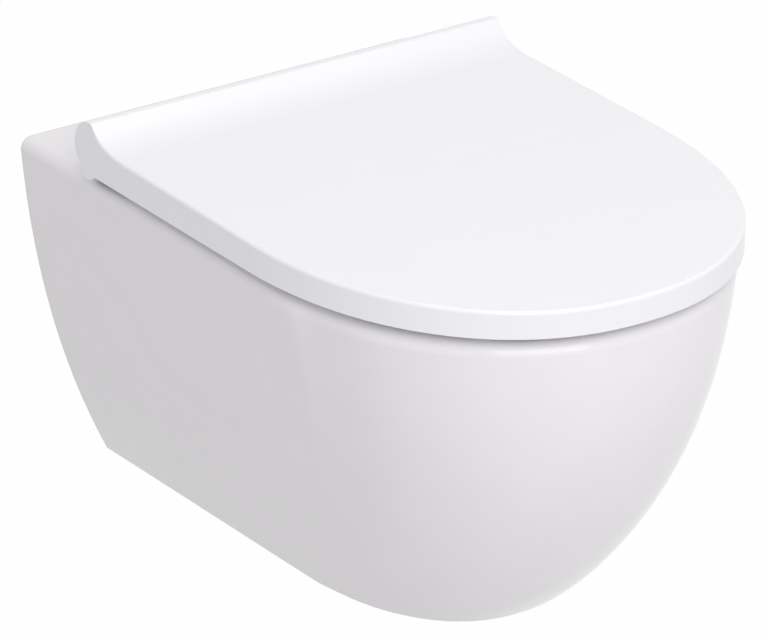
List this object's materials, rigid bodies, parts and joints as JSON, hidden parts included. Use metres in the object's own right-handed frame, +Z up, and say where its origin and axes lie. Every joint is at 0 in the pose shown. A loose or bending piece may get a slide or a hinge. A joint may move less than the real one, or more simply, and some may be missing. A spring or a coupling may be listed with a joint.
{
  "type": "wall hung toilet",
  "caption": "Wall hung toilet with a smooth shrouded ceramic pan, rimless bowl, P-trap, and a slim wrap-over seat and lid on quick-release soft-close hinges.",
  "frame": {"origin": "midway between the two wall bolts, on the wall plane", "axes": "+Z up, +Y into the wall, the bowl points along -Y, +X to the right of someone facing the wall"},
  "size_m": [0.366, 0.527, 0.3256],
  "materials": {
    "glaze": "white vitreous glaze, high gloss",
    "seat_white": "white moulded thermoset, satin gloss",
    "white_plastic": "white moulded plastic",
    "grey_plastic": "light grey moulded plastic",
    "grey_nylon": "dark grey glass filled nylon",
    "zinc_steel": "zinc plated steel",
    "stainless": "turned stainless steel",
    "brass": "turned brass",
    "black_rubber": "black rubber",
    "clear_rubber": "pale translucent elastomer"
  },
  "bodies": {
    "pan_body": {"pan": "glaze", "deck": "glaze", "pan_base": "glaze", "fixing_web_right": "glaze", "fixing_web_left": "glaze", "bowl": "glaze", "bowl_sump": "glaze", "trapway": "glaze", "flush_way": "glaze", "flush_divider": "white_plastic", "fixing_block_right": "grey_nylon", "fixing_block_left": "grey_nylon", "fixing_washers": "zinc_steel", "fixing_nuts": "zinc_steel", "clamp_screw_right": "zinc_steel", "clamp_screw_left": "zinc_steel", "access_caps": "white_plastic", "post_gaskets": "clear_rubber", "hinge_post_right": "stainless", "hinge_post_left": "stainless", "post_studs": "stainless", "expansion_bushes": "black_rubber", "expansion_nuts": "brass"},
    "hinge_set": {"hinge_carrier_right": "white_plastic", "hinge_carrier_left": "white_plastic", "latch_clips": "stainless", "hinge_damper_right": "grey_nylon", "hinge_damper_left": "grey_nylon", "carrier_caps": "white_plastic", "hinge_pin_right": "stainless", "hinge_pin_left": "stainless"},
    "right_button": {"release_button_right": "grey_plastic"},
    "left_button": {"release_button_left": "grey_plastic"},
    "seat": {"seat_ring": "seat_white", "seat_buffers_front": "clear_rubber", "seat_buffers_rear": "clear_rubber", "seat_bushes": "grey_nylon"},
    "cover": {"lid": "seat_white", "lid_buffers_front": "clear_rubber", "lid_buffers_rear": "clear_rubber", "lid_bushes": "grey_nylon"}
  },
  "joints": [
    {"name": "seat_lift_off", "type": "slide", "parent": "pan_body", "child": "hinge_set", "axis": [0, 0, 1], "range_m": [0, 0.04]},
    {"name": "seat_hinge", "type": "hinge", "parent": "hinge_set", "child": "seat", "pos_m": [0, -0.101, 0.1075], "axis": [-1, 0, 0], "range_deg": [0, 95]},
    {"name": "lid_hinge", "type": "hinge", "parent": "seat", "child": "cover", "pos_m": [0, -0.101, 0.1075], "axis": [1, 0, 0], "range_deg": [-98, 0]},
    {"name": "right_release", "type": "slide", "parent": "hinge_set", "child": "right_button", "axis": [0, 1, 0], "range_m": [0, 0.0025], "stiffness_N_per_m": 2000},
    {"name": "left_release", "type": "slide", "parent": "hinge_set", "child": "left_button", "axis": [0, 1, 0], "range_m": [0, 0.0025], "stiffness_N_per_m": 2000}
  ]
}
